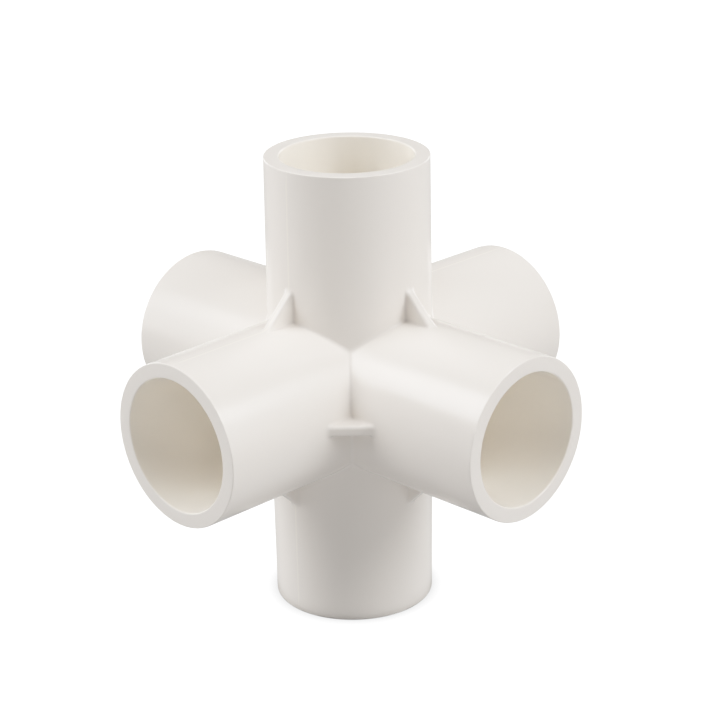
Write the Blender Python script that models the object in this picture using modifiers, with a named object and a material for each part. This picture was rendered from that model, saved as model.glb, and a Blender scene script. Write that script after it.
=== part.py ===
"""Six-way socket fitting for 25 mm plastic pipe.

Six equal sockets point along +X, -X, +Y, -Y, +Z and -Z from one hollow centre body. A small
triangular web stiffens each of the twelve corners between two neighbouring sockets.

The real fitting is one injection moulding. It is modelled here as its own regions: the centre
body, the six sockets and the twelve webs, each a closed solid, with a parting gap between them.

Units are metres, +Z is up, and the origin is where the six socket axes meet.
"""

import bpy
import itertools
import math
from mathutils import Matrix, Quaternion, Vector

# Driving dimensions
BORE_MOUTH_RADIUS = 0.0126      # the pipe is 25 mm across; the bore opens slightly towards the mouth
BORE_STOP_RADIUS = 0.0125       # the bore where the pipe's end stops
WALL_AT_MOUTH = 0.0029          # thickness of the mouth's end face
CENTRE_TO_MOUTH = 0.0445        # from the origin to each end face
SOCKET_DEPTH = 0.0225           # how far a pipe goes in
OUTER_DRAFT = 0.0003            # how much the outer radius grows from a mouth to the origin
PASSAGE_RADIUS = 0.0110         # the waterway through the centre body, smaller than the pipe
WEB_LEG = 0.0060                # how far a web runs along each of its two sockets
WEB_THICKNESS = 0.0020
MOUTH_ROUNDING = 0.0004         # edge radius, outside and inside each mouth
PARTING_GAP = 0.0003            # clear space between neighbouring regions

ROUND_STEPS = 64                # flats around each turned surface
ARC_STEPS = 3                   # flats along each rounded edge

# Worked-out dimensions
OUTER_MOUTH_RADIUS = BORE_MOUTH_RADIUS + WALL_AT_MOUTH
STOP_DISTANCE = CENTRE_TO_MOUTH - SOCKET_DEPTH
STUB_LENGTH = STOP_DISTANCE - PARTING_GAP

DIRECTIONS = {
    "right": Vector((1, 0, 0)),
    "left": Vector((-1, 0, 0)),
    "back": Vector((0, 1, 0)),
    "front": Vector((0, -1, 0)),
    "top": Vector((0, 0, 1)),
    "bottom": Vector((0, 0, -1)),
}

PVC_COLOUR = (0.86, 0.84, 0.78, 1.0)
PVC_ROUGHNESS = 0.35


def outer_radius(distance):
    """Outer radius of a socket at a distance from the origin along its axis."""
    return OUTER_MOUTH_RADIUS + OUTER_DRAFT * (1 - distance / CENTRE_TO_MOUTH)


def clear_scene():
    for obj in list(bpy.data.objects):
        bpy.data.objects.remove(obj, do_unlink=True)


def new_collection(name):
    collection = bpy.data.collections.new(name)
    bpy.context.scene.collection.children.link(collection)
    return collection


def pvc_material(name):
    material = bpy.data.materials.new(name)
    material.use_nodes = True
    shader = material.node_tree.nodes["Principled BSDF"]
    shader.inputs["Base Color"].default_value = PVC_COLOUR
    shader.inputs["Roughness"].default_value = PVC_ROUGHNESS
    shader.inputs["Metallic"].default_value = 0.0
    return material


def profile_mesh(name, outline, closed):
    """A mesh of edges only: a list of (radius, height) points for a Screw modifier."""
    mesh = bpy.data.meshes.new(name)
    count = len(outline)
    edges = [(i, i + 1) for i in range(count - 1)]
    if closed:
        edges.append((count - 1, 0))
    mesh.from_pydata([(radius, 0, height) for radius, height in outline], edges, [])
    return mesh


def turned_object(name, mesh, collection):
    """Turn a profile mesh once around its local Z axis."""
    obj = bpy.data.objects.new(name, mesh)
    collection.objects.link(obj)
    screw = obj.modifiers.new("Turn", 'SCREW')
    screw.axis = 'Z'
    screw.angle = math.tau
    screw.steps = ROUND_STEPS
    screw.render_steps = ROUND_STEPS
    screw.use_merge_vertices = True
    screw.merge_threshold = 0.00001
    screw.use_smooth_shade = True
    return obj


def rounded_corner(centre_radius, centre_height, start_degrees, end_degrees):
    """Points along a mouth's rounded edge, as (radius, height)."""
    points = []
    for step in range(ARC_STEPS + 1):
        angle = math.radians(start_degrees + (end_degrees - start_degrees) * step / ARC_STEPS)
        points.append((
            centre_radius + MOUTH_ROUNDING * math.cos(angle),
            centre_height + MOUTH_ROUNDING * math.sin(angle),
        ))
    return points


def socket_outline():
    """Closed outline of a socket's wall, with height 0 at the pipe stop.

    It runs over the mouth from the bore to the outside, down the outer side, and back
    up the bore.
    """
    shoulder = SOCKET_DEPTH - MOUTH_ROUNDING
    inner_edge = rounded_corner(BORE_MOUTH_RADIUS + MOUTH_ROUNDING, shoulder, 180, 90)
    outer_edge = rounded_corner(OUTER_MOUTH_RADIUS - MOUTH_ROUNDING, shoulder, 90, 0)
    foot = [(outer_radius(STOP_DISTANCE), 0), (BORE_STOP_RADIUS, 0)]
    return inner_edge + outer_edge + foot


def stub_outline():
    """Open outline, axis to axis, of the solid bar that two opposite stubs make."""
    end_radius = outer_radius(STUB_LENGTH)
    return [
        (0, STUB_LENGTH),
        (end_radius, STUB_LENGTH),
        (outer_radius(0), 0),
        (end_radius, -STUB_LENGTH),
        (0, -STUB_LENGTH),
    ]


def passage_outline():
    """Open outline, axis to axis, of the cutter for one straight waterway."""
    reach = CENTRE_TO_MOUTH
    return [(0, reach), (PASSAGE_RADIUS, reach), (PASSAGE_RADIUS, -reach), (0, -reach)]


def turn_to(obj, direction, roll=0.0):
    """Point an object's local Z along a direction, rolled about that direction by an angle."""
    obj.rotation_mode = 'QUATERNION'
    obj.rotation_quaternion = direction.to_track_quat('Z', 'Y') @ Quaternion((0, 0, 1), roll)


def combine(obj, tool, operation):
    boolean = obj.modifiers.new(operation.title() + " " + tool.name, 'BOOLEAN')
    boolean.operation = operation
    boolean.solver = 'EXACT'
    boolean.object = tool


def as_tool(obj):
    obj.hide_render = True
    obj.display_type = 'WIRE'


def make_centre_body(parts, tools):
    """Three crossing bars, joined, with the three crossing waterways cut out.

    Each crossing bar is rolled by part of one flat, so that no edge of one bar lies along
    an edge of another.
    """
    flat = math.tau / ROUND_STEPS
    bar_mesh = profile_mesh("stub_bar", stub_outline(), closed=False)
    passage_mesh = profile_mesh("passage", passage_outline(), closed=False)
    body = turned_object("centre_body", bar_mesh, parts)
    for side, roll in (("right", flat / 3), ("back", 2 * flat / 3)):
        bar = turned_object("bar_" + side, bar_mesh, tools)
        turn_to(bar, DIRECTIONS[side], roll)
        as_tool(bar)
        combine(body, bar, 'UNION')
    for side in ("top", "right", "back"):
        passage = turned_object("passage_" + side, passage_mesh, tools)
        turn_to(passage, DIRECTIONS[side])
        as_tool(passage)
        combine(body, passage, 'DIFFERENCE')
    body.data.materials.append(pvc_material("centre_body_pvc"))
    return body


def make_socket(side, mesh, parts):
    direction = DIRECTIONS[side]
    socket = turned_object("socket_" + side, mesh, parts)
    socket.location = direction * STOP_DISTANCE
    turn_to(socket, direction)
    socket.material_slots[0].link = 'OBJECT'
    socket.material_slots[0].material = pvc_material("socket_" + side + "_pvc")
    return socket


def web_curve():
    """Flat right triangle in local XY, measured from the origin, for one web."""
    root = outer_radius(OUTER_MOUTH_RADIUS)
    corner = root + PARTING_GAP
    tip = root + WEB_LEG - PARTING_GAP
    curve = bpy.data.curves.new("web", 'CURVE')
    curve.dimensions = '2D'
    curve.fill_mode = 'BOTH'
    curve.extrude = WEB_THICKNESS / 2
    spline = curve.splines.new('POLY')
    spline.points.add(2)
    for point, (x, y) in zip(spline.points, ((corner, corner), (tip, corner), (corner, tip))):
        point.co = (x, y, 0, 1)
    spline.use_cyclic_u = True
    return curve


def make_web(first_side, second_side, curve, parts):
    """A web in the plane of two neighbouring socket axes."""
    name = "web_" + first_side + "_" + second_side
    first = DIRECTIONS[first_side]
    second = DIRECTIONS[second_side]
    web = bpy.data.objects.new(name, curve)
    parts.objects.link(web)
    axes = Matrix((first, second, first.cross(second))).transposed()
    web.rotation_mode = 'QUATERNION'
    web.rotation_quaternion = axes.to_quaternion()
    web.material_slots[0].link = 'OBJECT'
    web.material_slots[0].material = pvc_material(name + "_pvc")
    return web


def build():
    clear_scene()
    parts = new_collection("six_way_fitting")
    tools = new_collection("tools")

    make_centre_body(parts, tools)

    socket_mesh = profile_mesh("socket", socket_outline(), closed=True)
    socket_mesh.materials.append(None)
    for side in DIRECTIONS:
        make_socket(side, socket_mesh, parts)

    web_shape = web_curve()
    web_shape.materials.append(None)
    order = ("top", "bottom", "front", "back", "left", "right")
    for first_side, second_side in itertools.combinations(order, 2):
        if DIRECTIONS[first_side].dot(DIRECTIONS[second_side]) == 0:
            make_web(first_side, second_side, web_shape, parts)


build()
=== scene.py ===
"""The looks of the six-way socket fitting: one unbroken skin of moulded ivory PVC.

The CAD frame holds the fitting as separate regions with parting gaps. Here one closed mesh
replaces them all, at the same sizes, with the fillets, rounded edges and parting flash of the
real moulding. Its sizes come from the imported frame. Lengths are in metres.
"""

import bmesh
import bpy
import itertools
import math
import numpy as np
from mathutils import Matrix, Vector


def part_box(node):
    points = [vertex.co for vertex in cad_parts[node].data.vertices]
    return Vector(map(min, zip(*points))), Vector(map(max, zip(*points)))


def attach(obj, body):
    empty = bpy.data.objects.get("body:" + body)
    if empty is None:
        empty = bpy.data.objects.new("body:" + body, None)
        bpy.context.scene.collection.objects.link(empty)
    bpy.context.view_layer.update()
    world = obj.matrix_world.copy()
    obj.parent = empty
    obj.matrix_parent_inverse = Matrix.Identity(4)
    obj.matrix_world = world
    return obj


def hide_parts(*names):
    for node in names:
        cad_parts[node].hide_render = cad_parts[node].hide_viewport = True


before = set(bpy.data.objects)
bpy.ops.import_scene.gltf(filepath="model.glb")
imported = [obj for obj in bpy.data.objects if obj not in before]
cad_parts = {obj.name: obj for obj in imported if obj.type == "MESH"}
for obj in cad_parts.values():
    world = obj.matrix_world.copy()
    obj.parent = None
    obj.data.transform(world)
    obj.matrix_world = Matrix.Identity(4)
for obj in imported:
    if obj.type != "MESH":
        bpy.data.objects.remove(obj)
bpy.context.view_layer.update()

# Camera, looking down between the front and right sockets
AZIMUTH = math.radians(45.24)
ELEVATION = math.radians(22.0)
ROLL = math.radians(-1.085)
DISTANCE = 0.388
LENS_MM = 100.6
AIM_RIGHT = 0.00175             # the aim point, measured from the fitting's centre
AIM_UP = 0.00332
SHOULDER = 2.0                  # how softly the highlights roll off

# Studio: round softboxes on a dome, with azimuths counted from the camera
SOFTBOX_SIZE = 0.9
SOFTBOX_DISTANCE = 1.5
SOFTBOXES = (
    ("right_key", 70, 38, 9.5),
    ("left_key", -85, 40, 9),
    ("right_side", 70, 10, 2),
    ("left_side", -105, 10, 3.5),
    ("right_rim", 140, 10, 5),
    ("left_rim", -140, 10, 5),
    ("front_fill", 0, 15, 1.5),
    ("overhead", 0, 90, 4.5),
)
TABLE_LIGHT = 0.3               # light that comes up from the table
STUDIO_LIGHT = 0.01
STAGE_RADIUS = 4.0
FLOOR_GLOW = 1.3
BACKDROP_GLOW = 1.2
CONTACT_REACH = 0.0045          # how far from the fitting the painted shadow on the table reaches
CONTACT_SHADE = 0.0015          # width of the painted shade, a dark disc standing in for the shaded table around the bottom mouth
SHADE_DEPTH = 0.0001            # how far that disc of painted shade lies below the floor
HORIZON = 0.05                  # half the height of the blend from table light to studio light

# Finish of the moulding
FRAME_ROUNDING = 0.0004         # both edges of each mouth, in the frame
RIM_ROUNDING = 0.0002           # outer edge of each mouth
BORE_ROUNDING = 0.0003          # inner edge of each mouth
CREASE_FILLET = 0.0005          # where two sockets, or a socket and a web, meet outside
PASSAGE_ROUNDING = 0.0004       # where two waterways meet inside
WEB_EDGE_ROUNDING = 0.0006
STOP_ROUNDING = 0.0002          # both edges of the pipe stop
FLASH_HALF_WIDTH = 0.0003       # the mould's parting flash, a fine ridge in the plane x = 0
FLASH_HEIGHT = 0.00004

# The plastic
OUTSIDE_LOW = (0.908, 0.849, 0.786)
OUTSIDE_HIGH = (0.918, 0.859, 0.796)
# painted light: a lighter, creamier copy of the ivory, for the bores and the parting flash
PAINTED_LIGHT_IVORY_LOW = (0.992, 0.932, 0.838)
PAINTED_LIGHT_IVORY_HIGH = (0.999, 0.94, 0.846)
ROUGHNESS_LOW = 0.2
ROUGHNESS_HIGH = 0.265
CLOUD_SCALE = 45                # noise scales, in cycles a metre
POLISH_SCALE = 120
GRAIN_SCALE = 2500
GRAIN_STRENGTH = 0.25
GRAIN_HEIGHT = 0.00001

# Spacing of the skin's mesh
FINE_STEP = 0.00011
MIDDLE_STEP = 0.0007
COARSE_STEP = 0.0013
LONG_STEP = 0.0028
GROWTH = 1.35
ARC_STEPS = 5
MERGE_DISTANCE = 0.00001
WEB_SLACK = 0.0001              # margin for telling which quads a web covers, in radians
NUDGE = 0.000001                # step for measuring slopes
SETTLE_PASSES = 6


# ---------------------------------------------------------------- sizes from the frame

def ring_radii(node, height):
    """Smallest and largest distance from the Z axis of a node's points at one height."""
    points = np.array([vertex.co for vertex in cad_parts[node].data.vertices])
    level = points[np.abs(points[:, 2] - height) < MERGE_DISTANCE]
    radii = np.hypot(level[:, 0], level[:, 1])
    return float(radii.min()), float(radii.max())


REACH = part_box("socket_top")[1].z
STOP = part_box("socket_top")[0].z
BORE_AT_STOP, OUTER_AT_STOP = ring_radii("socket_top", STOP)
FACE_INNER, FACE_OUTER = ring_radii("socket_top", REACH)
BORE_AT_MOUTH = FACE_INNER - FRAME_ROUNDING
OUTER_AT_MOUTH = FACE_OUTER + FRAME_ROUNDING
PASSAGE = ring_radii("centre_body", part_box("centre_body")[1].z)[0]
DRAFT = (OUTER_AT_STOP - OUTER_AT_MOUTH) / (REACH - STOP)
WEB_HALF_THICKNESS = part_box("web_top_front")[1].x
WEB_EDGE_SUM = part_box("web_top_front")[0].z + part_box("web_top_front")[1].z


def outer_radius(height):
    return OUTER_AT_MOUTH + DRAFT * (REACH - height)


# A web's sloping edge joins points whose two in-plane coordinates add to WEB_EDGE_SUM
WEB_TIP = WEB_EDGE_SUM - outer_radius(WEB_EDGE_SUM / 2)
ROOT_RADIUS = outer_radius(OUTER_AT_STOP)


# ---------------------------------------------------------------- mesh of the skin

def graded(start, end, first, largest):
    """Values from start to end, close together at the start and wider further on."""
    steps = [first]
    while sum(steps) < abs(end - start):
        steps.append(min(steps[-1] * GROWTH, largest))
    reached = np.concatenate(([0.0], np.cumsum(steps)))
    return start + (end - start) * reached / reached[-1]


def graded_both(start, end, first, largest):
    """Values from start to end, close together at both ends."""
    middle = (start + end) / 2
    lower = graded(start, middle, first, largest)
    upper = graded(end, middle, first, largest)[::-1]
    return np.concatenate((lower, upper[1:]))


def arc(centre_radius, centre_height, size, start_degrees, end_degrees):
    """Points along a rounded edge, as columns of radius and height, without the first one."""
    angles = np.radians(np.linspace(start_degrees, end_degrees, ARC_STEPS + 1)[1:])
    return np.column_stack((centre_radius + size * np.cos(angles),
                            centre_height + size * np.sin(angles)))


def line_angles():
    """Angles around a socket, from the middle of a web to halfway to the next web."""
    flat = WEB_HALF_THICKNESS - WEB_EDGE_ROUNDING
    across_web = np.concatenate((
        [0.0],
        np.linspace(FLASH_HALF_WIDTH, flat, 3),
        np.linspace(flat, WEB_HALF_THICKNESS, 4)[1:],
    ))
    beyond = graded(WEB_HALF_THICKNESS, ROOT_RADIUS * math.pi / 4, FINE_STEP, COARSE_STEP)
    return across_web / ROOT_RADIUS, beyond / ROOT_RADIUS


ACROSS_WEB, BEYOND_WEB = line_angles()
HALF_SECTOR = np.concatenate((ACROSS_WEB, BEYOND_WEB[1:]))
SECTOR = np.concatenate((-HALF_SECTOR[:0:-1], HALF_SECTOR))
WEB_LINES = np.concatenate((-ACROSS_WEB[:0:-1], ACROSS_WEB))
CROTCH_ROWS = graded_both(0.0, WEB_TIP - ROOT_RADIUS, FINE_STEP, MIDDLE_STEP) / (WEB_TIP - ROOT_RADIUS)
WATERWAY_ROWS = graded(0.0, STOP - PASSAGE, FINE_STEP, LONG_STEP) / (STOP - PASSAGE)


def crotch_height(angle, row):
    """Height above the origin of a socket's outer surface, between the crease and the web tips."""
    radius = (OUTER_AT_MOUTH + DRAFT * REACH) / (1 + DRAFT * math.cos(angle))
    crease = radius * math.cos(angle)
    return crease + (WEB_TIP - crease) * row


def turned_profile():
    """Outline of a socket from the web tips, over the mouth, to below the pipe stop."""
    outside = graded(WEB_TIP, REACH - RIM_ROUNDING, FINE_STEP, LONG_STEP)
    face = np.linspace(OUTER_AT_MOUTH - RIM_ROUNDING, BORE_AT_MOUTH + BORE_ROUNDING, 4)[1:]
    bore = np.linspace(REACH - BORE_ROUNDING, STOP + STOP_ROUNDING, 9)[1:]
    bore_radii = np.interp(bore, (STOP, REACH), (BORE_AT_STOP, BORE_AT_MOUTH))
    ledge = np.linspace(BORE_AT_STOP - STOP_ROUNDING, PASSAGE + STOP_ROUNDING, 3)[1:]
    return np.concatenate((
        np.column_stack((outer_radius(outside[1:]), outside[1:])),
        arc(OUTER_AT_MOUTH - RIM_ROUNDING, REACH - RIM_ROUNDING, RIM_ROUNDING, 0, 90),
        np.column_stack((face, np.full(len(face), REACH))),
        arc(BORE_AT_MOUTH + BORE_ROUNDING, REACH - BORE_ROUNDING, BORE_ROUNDING, 90, 180),
        np.column_stack((bore_radii, bore)),
        arc(BORE_AT_STOP - STOP_ROUNDING, STOP + STOP_ROUNDING, STOP_ROUNDING, 0, -90),
        np.column_stack((ledge, np.full(len(ledge), STOP))),
        arc(PASSAGE + STOP_ROUNDING, STOP - STOP_ROUNDING, STOP_ROUNDING, 90, 180),
    ))


def arm_line(angle, profile):
    """One line of a socket's surface, from the outer crease to the inner crease."""
    outside = crotch_height(angle, CROTCH_ROWS)
    inner_crease = PASSAGE * math.cos(angle)
    inside = inner_crease + (STOP - STOP_ROUNDING - inner_crease) * WATERWAY_ROWS[-2::-1]
    return np.concatenate((
        np.column_stack((outer_radius(outside), outside)),
        profile,
        np.column_stack((np.full(len(inside), PASSAGE), inside)),
    ))


def axes_of(axis, sign):
    """Local X, Y and Z of a socket that points along one world axis."""
    sides = np.roll(np.eye(3), -axis - 1, axis=0)[:2]
    if sign < 0:
        sides = sides[::-1]
    return np.vstack((sides, sign * np.eye(3)[axis]))


def add_grid(grid, points, faces, skip=None):
    """Add a grid of points as quads, apart from those that skip(row, column) names."""
    rows, columns = grid.shape[:2]
    first = sum(len(block) for block in points)
    points.append(grid.reshape(-1, 3))
    for row, column in itertools.product(range(rows - 1), range(columns - 1)):
        if skip and skip(row, column):
            continue
        corner = first + row * columns + column
        faces.append((corner, corner + 1, corner + columns + 1, corner + columns))


def add_arm(axis, sign, points, faces):
    """A quarter at a time, because the pattern of lines repeats at each web."""
    axes = axes_of(axis, sign)
    profile = turned_profile()
    web_edge = ACROSS_WEB[-1] + WEB_SLACK
    web_rows = len(CROTCH_ROWS) - 1

    def under_web(row, column):
        inside = abs(SECTOR[column]) < web_edge and abs(SECTOR[column + 1]) < web_edge
        return inside and row < web_rows

    lines = np.array([arm_line(angle, profile) for angle in SECTOR])
    radii, heights = lines[:, :, 0].T, lines[:, :, 1].T
    for quarter in range(4):
        turn = SECTOR + quarter * math.pi / 2
        local = np.dstack((radii * np.cos(turn), radii * np.sin(turn), heights))
        add_grid(local @ axes, points, faces, under_web)


def between(start, end, shares):
    """Points in a grid between two lines of points."""
    return start[:, None, :] + (end - start)[:, None, :] * shares[None, :, None]


def add_web(first, second, points, faces):
    """The sloping edge and both side walls of the web between two sockets."""
    across = np.cross(first, second)

    def on_socket(along, towards, angles, heights):
        radii = outer_radius(heights)
        return (np.outer(heights, along) + np.outer(radii * np.cos(angles), towards)
                + np.outer(radii * np.sin(angles), across))

    tips = np.full(len(WEB_LINES), WEB_TIP)
    start = on_socket(first, second, WEB_LINES, tips)
    end = on_socket(second, first, WEB_LINES, tips)
    add_grid(between(start, end, CROTCH_ROWS), points, faces)
    for side in (-1, 1):
        angle = side * ACROSS_WEB[-1]
        heights = crotch_height(angle, CROTCH_ROWS)
        start = on_socket(first, second, angle, heights)
        end = on_socket(second, first, angle, heights)
        add_grid(between(start, end, CROTCH_ROWS), points, faces)


def rounded_union(distances, radius):
    """Distance to a union of shapes, from the distances to each, with fillets between them."""
    nearest = distances.min(axis=0)
    overlap = np.maximum(radius - distances, 0)
    return np.maximum(radius, nearest) - np.sqrt((overlap ** 2).sum(axis=0))


def outside_distance(points):
    """Distance from the outer surface: three crossing bars and twelve webs."""
    folded = np.abs(points)
    shapes = []
    for axis in range(3):
        others = np.delete(folded, axis, axis=1)
        shapes.append(np.hypot(others[:, 0], others[:, 1]) - outer_radius(folded[:, axis]))
        thickness = folded[:, axis] - WEB_HALF_THICKNESS
        slope = (others.sum(axis=1) - WEB_EDGE_SUM) / math.sqrt(2)
        edges = np.maximum(np.stack((thickness, slope)) + WEB_EDGE_ROUNDING, 0)
        shapes.append(np.minimum(np.maximum(thickness, slope), -WEB_EDGE_ROUNDING)
                      + np.sqrt((edges ** 2).sum(axis=0)))
    return rounded_union(np.stack(shapes), CREASE_FILLET)


def inside_distance(points):
    """Distance from the wall of the three crossing waterways, positive in the plastic."""
    shapes = []
    for axis in range(3):
        others = np.delete(points, axis, axis=1)
        shapes.append(np.hypot(others[:, 0], others[:, 1]) - PASSAGE)
    return rounded_union(np.stack(shapes), PASSAGE_ROUNDING)


def slope_of(distance, points):
    """Direction in which a distance grows, at each point."""
    parts = []
    for axis in range(3):
        shift = np.zeros(3)
        shift[axis] = NUDGE
        parts.append((distance(points + shift) - distance(points - shift)) / (2 * NUDGE))
    return np.column_stack(parts)


def settle(distance, points):
    """Move points to where a distance is zero."""
    for _ in range(SETTLE_PASSES):
        slope = slope_of(distance, points)
        steepness = np.maximum((slope ** 2).sum(axis=1), 0.1)
        points = points - slope * (distance(points) / steepness)[:, None]
    return points


def shape_skin(points):
    """Round the creases and web edges, inside and outside, and raise the parting flash.

    Also gives how much painted light each point takes: full in the bores, painted lighter and
    creamier, and on the flash, as a painted highlight.
    """
    height = np.abs(points).max(axis=1)
    radius = np.sqrt(np.maximum((points ** 2).sum(axis=1) - height ** 2, 0))
    outside = (radius > (BORE_AT_MOUTH + OUTER_AT_MOUTH) / 2) & (height < REACH - 2 * RIM_ROUNDING)
    inside = (radius < PASSAGE + STOP_ROUNDING / 2) & (height < STOP - 2 * STOP_ROUNDING)
    on_flash = outside & (np.abs(points[:, 0]) < MERGE_DISTANCE)
    # painted light: the bores are painted lighter, blending in across the inner rounding of the mouth
    painted_light = np.clip((BORE_AT_MOUTH + BORE_ROUNDING - radius) / BORE_ROUNDING, 0, 1)
    points[outside] = settle(outside_distance, points[outside])
    points[inside] = settle(inside_distance, points[inside])
    points[on_flash] += slope_of(outside_distance, points[on_flash]) * FLASH_HEIGHT
    # painted highlight: the parting flash takes the lighter colour in full
    painted_light[on_flash] = 1
    return points, painted_light


def make_skin():
    points = []
    faces = []
    ways = [(axis, sign) for axis in range(3) for sign in (1, -1)]
    for axis, sign in ways:
        add_arm(axis, sign, points, faces)
    for (axis, sign), (other_axis, other_sign) in itertools.combinations(ways, 2):
        if axis != other_axis:
            add_web(sign * np.eye(3)[axis], other_sign * np.eye(3)[other_axis], points, faces)
    shaped, painted_light = shape_skin(np.concatenate(points))
    mesh = bpy.data.meshes.new("moulded_body")
    mesh.from_pydata(shaped.tolist(), [], faces)
    mesh.attributes.new("painted_light", 'FLOAT', 'POINT').data.foreach_set("value", painted_light)
    work = bmesh.new()
    work.from_mesh(mesh)
    loose = [vertex for vertex in work.verts if not vertex.link_faces]
    bmesh.ops.delete(work, geom=loose, context='VERTS')
    bmesh.ops.remove_doubles(work, verts=work.verts, dist=MERGE_DISTANCE)
    bmesh.ops.recalc_face_normals(work, faces=work.faces)
    work.to_mesh(mesh)
    work.free()
    mesh.shade_smooth()
    skin = bpy.data.objects.new("moulded_body", mesh)
    bpy.context.scene.collection.objects.link(skin)
    even = skin.modifiers.new("Even normals", 'WEIGHTED_NORMAL')
    even.weight = 50
    return skin


# ---------------------------------------------------------------- material

def pvc_material():
    """Opaque ivory PVC with a satin skin; the bores are painted lighter and creamier, and the flash
    carries a painted highlight.
    """
    material = bpy.data.materials.new("ivory_pvc")
    material.use_nodes = True
    nodes = material.node_tree.nodes
    links = material.node_tree.links
    shader = nodes["Principled BSDF"]
    place = nodes.new("ShaderNodeTexCoord")

    def noise(scale, detail):
        node = nodes.new("ShaderNodeTexNoise")
        node.inputs["Scale"].default_value = scale
        node.inputs["Detail"].default_value = detail
        links.new(place.outputs["Object"], node.inputs["Vector"])
        return node.outputs["Fac"]

    def ramp(value, low, high):
        node = nodes.new("ShaderNodeValToRGB")
        node.color_ramp.elements[0].position = 0.3
        node.color_ramp.elements[1].position = 0.7
        node.color_ramp.elements[0].color = low + (1,)
        node.color_ramp.elements[1].color = high + (1,)
        links.new(value, node.inputs["Fac"])
        return node.outputs["Color"]

    clouds = noise(CLOUD_SCALE, 3)
    # painted light: the bores and the flash take the lighter, creamier colour
    painted_light = nodes.new("ShaderNodeAttribute")
    painted_light.attribute_name = "painted_light"
    colour = nodes.new("ShaderNodeMix")
    colour.data_type = 'RGBA'
    links.new(painted_light.outputs["Fac"], colour.inputs["Factor"])
    links.new(ramp(clouds, OUTSIDE_LOW, OUTSIDE_HIGH), colour.inputs["A"])
    links.new(ramp(clouds, PAINTED_LIGHT_IVORY_LOW, PAINTED_LIGHT_IVORY_HIGH), colour.inputs["B"])
    links.new(colour.outputs["Result"], shader.inputs["Base Color"])

    polish = nodes.new("ShaderNodeMapRange")
    polish.inputs["To Min"].default_value = ROUGHNESS_LOW
    polish.inputs["To Max"].default_value = ROUGHNESS_HIGH
    links.new(noise(POLISH_SCALE, 4), polish.inputs["Value"])
    links.new(polish.outputs["Result"], shader.inputs["Roughness"])

    grain = nodes.new("ShaderNodeBump")
    grain.inputs["Strength"].default_value = GRAIN_STRENGTH
    grain.inputs["Distance"].default_value = GRAIN_HEIGHT
    links.new(noise(GRAIN_SCALE, 2), grain.inputs["Height"])
    links.new(grain.outputs["Normal"], shader.inputs["Normal"])

    return material


# ---------------------------------------------------------------- camera, lights, floor

def camera_axes():
    """Right, up and back directions of the view towards the fitting's centre, with its roll."""
    back = Vector((
        math.sin(AZIMUTH) * math.cos(ELEVATION),
        -math.cos(AZIMUTH) * math.cos(ELEVATION),
        math.sin(ELEVATION),
    ))
    right = Vector((0, 0, 1)).cross(back).normalized()
    roll = Matrix.Rotation(ROLL, 3, back)
    return roll @ right, roll @ back.cross(right), back


def set_tone():
    """Plain colours, with a soft shoulder in the highlights."""
    view = bpy.context.scene.view_settings
    view.view_transform = 'Standard'
    view.use_curve_mapping = True
    combined = view.curve_mapping.curves[3]
    for light in (0.25, 0.5, 0.75):
        combined.points.new(light, math.expm1(-SHOULDER * light) / math.expm1(-SHOULDER))
    view.curve_mapping.update()


def make_camera():
    right, up, back = camera_axes()
    place = back * DISTANCE
    aim = right * AIM_RIGHT + up * AIM_UP
    back = (place - aim).normalized()
    right = up.cross(back).normalized()
    up = back.cross(right)
    turn = Matrix((right, up, back)).transposed().to_4x4()
    camera = bpy.data.cameras.new("camera")
    camera.lens = LENS_MM
    camera.sensor_width = 36
    camera.clip_start = 0.01
    holder = bpy.data.objects.new("camera", camera)
    holder.matrix_world = Matrix.Translation(place) @ turn
    bpy.context.scene.collection.objects.link(holder)
    bpy.context.scene.camera = holder


def aim_down(direction):
    """Turn for a lamp that shines back along a direction towards the fitting."""
    return direction.to_track_quat('Z', 'Y').to_euler()


def add_softbox(name, azimuth, elevation, watts):
    """A round soft light on a dome around the fitting; azimuth 0 is beside the camera."""
    turn = AZIMUTH + math.radians(azimuth)
    tilt = math.radians(elevation)
    direction = Vector((
        math.sin(turn) * math.cos(tilt),
        -math.cos(turn) * math.cos(tilt),
        math.sin(tilt),
    ))
    light = bpy.data.lights.new(name, 'AREA')
    light.shape = 'DISK'
    light.size = SOFTBOX_SIZE
    light.energy = watts
    holder = bpy.data.objects.new(name, light)
    holder.location = direction * SOFTBOX_DISTANCE
    holder.rotation_euler = aim_down(direction)
    holder.visible_camera = False
    bpy.context.scene.collection.objects.link(holder)


def make_world():
    """Light from below, as a pale table gives it, and hardly any from the dark studio."""
    world = bpy.data.worlds.new("studio")
    bpy.context.scene.world = world
    world.use_nodes = True
    nodes = world.node_tree.nodes
    links = world.node_tree.links
    place = nodes.new("ShaderNodeTexCoord")
    split = nodes.new("ShaderNodeSeparateXYZ")
    level = nodes.new("ShaderNodeMapRange")
    level.inputs["From Min"].default_value = -HORIZON
    level.inputs["From Max"].default_value = HORIZON
    level.inputs["To Min"].default_value = TABLE_LIGHT
    level.inputs["To Max"].default_value = STUDIO_LIGHT
    links.new(place.outputs["Generated"], split.inputs["Vector"])
    links.new(split.outputs["Z"], level.inputs["Value"])
    links.new(level.outputs["Result"], nodes["Background"].inputs["Strength"])
    nodes["Background"].inputs["Color"].default_value = (1, 1, 1, 1)


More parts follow.
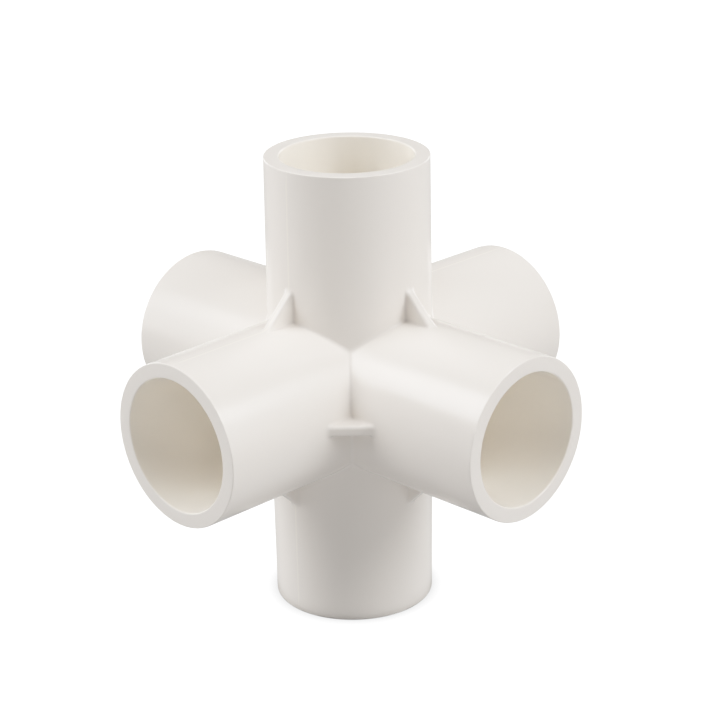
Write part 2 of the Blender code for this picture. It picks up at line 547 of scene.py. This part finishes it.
def stage_material(name, glow):
    """White, as seen by the camera, with a painted shadow: darker within a short reach of the fitting.
    """
    material = bpy.data.materials.new(name)
    material.use_nodes = True
    nodes = material.node_tree.nodes
    links = material.node_tree.links
    shader = nodes["Principled BSDF"]
    shader.inputs["Base Color"].default_value = (0, 0, 0, 1)
    shader.inputs["Specular IOR Level"].default_value = 0
    shader.inputs["Emission Strength"].default_value = glow
    # painted shadow: the glow fades where the fitting is near
    painted_contact_shadow = nodes.new("ShaderNodeAmbientOcclusion")
    painted_contact_shadow.inputs["Distance"].default_value = CONTACT_REACH
    links.new(painted_contact_shadow.outputs["Color"], shader.inputs["Emission Color"])
    return material


def stage_mesh(name, build, glow):
    """A part of the stage; it is seen, but its light on the fitting is the world's."""
    mesh = bpy.data.meshes.new(name)
    work = bmesh.new()
    build(work)
    work.to_mesh(mesh)
    work.free()
    mesh.materials.append(stage_material(name, glow))
    piece = bpy.data.objects.new(name, mesh)
    piece.location.z = -REACH
    piece.visible_diffuse = False
    piece.visible_glossy = False
    piece.visible_transmission = False
    piece.visible_shadow = False
    bpy.context.scene.collection.objects.link(piece)
    return piece


def build_floor(work):
    bmesh.ops.create_circle(work, cap_ends=True, segments=96, radius=STAGE_RADIUS)


def build_dome(work):
    bmesh.ops.create_uvsphere(work, u_segments=96, v_segments=48, radius=STAGE_RADIUS)
    lower = [vertex for vertex in work.verts if vertex.co.z < -0.001]
    bmesh.ops.delete(work, geom=lower, context='VERTS')
    bmesh.ops.reverse_faces(work, faces=work.faces)


def build_shade(work):
    radius = OUTER_AT_MOUTH + CONTACT_SHADE
    bmesh.ops.create_circle(work, cap_ends=True, segments=96, radius=radius)


def make_stage():
    """A white floor and backdrop, and a dark disc of painted shade that only the fitting sees under
    its base.
    """
    stage_mesh("floor", build_floor, FLOOR_GLOW)
    stage_mesh("backdrop", build_dome, BACKDROP_GLOW)
    # painted shade: a black disc that darkens the base where the table lies in shade
    shade = stage_mesh("contact_shade", build_shade, 0)
    shade.location.z -= SHADE_DEPTH
    shade.visible_camera = False
    shade.visible_diffuse = True
    shade.visible_glossy = True


set_tone()
make_camera()
make_world()
make_stage()
for softbox in SOFTBOXES:
    add_softbox(*softbox)

skin = make_skin()
skin.data.materials.append(pvc_material())
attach(skin, "root")
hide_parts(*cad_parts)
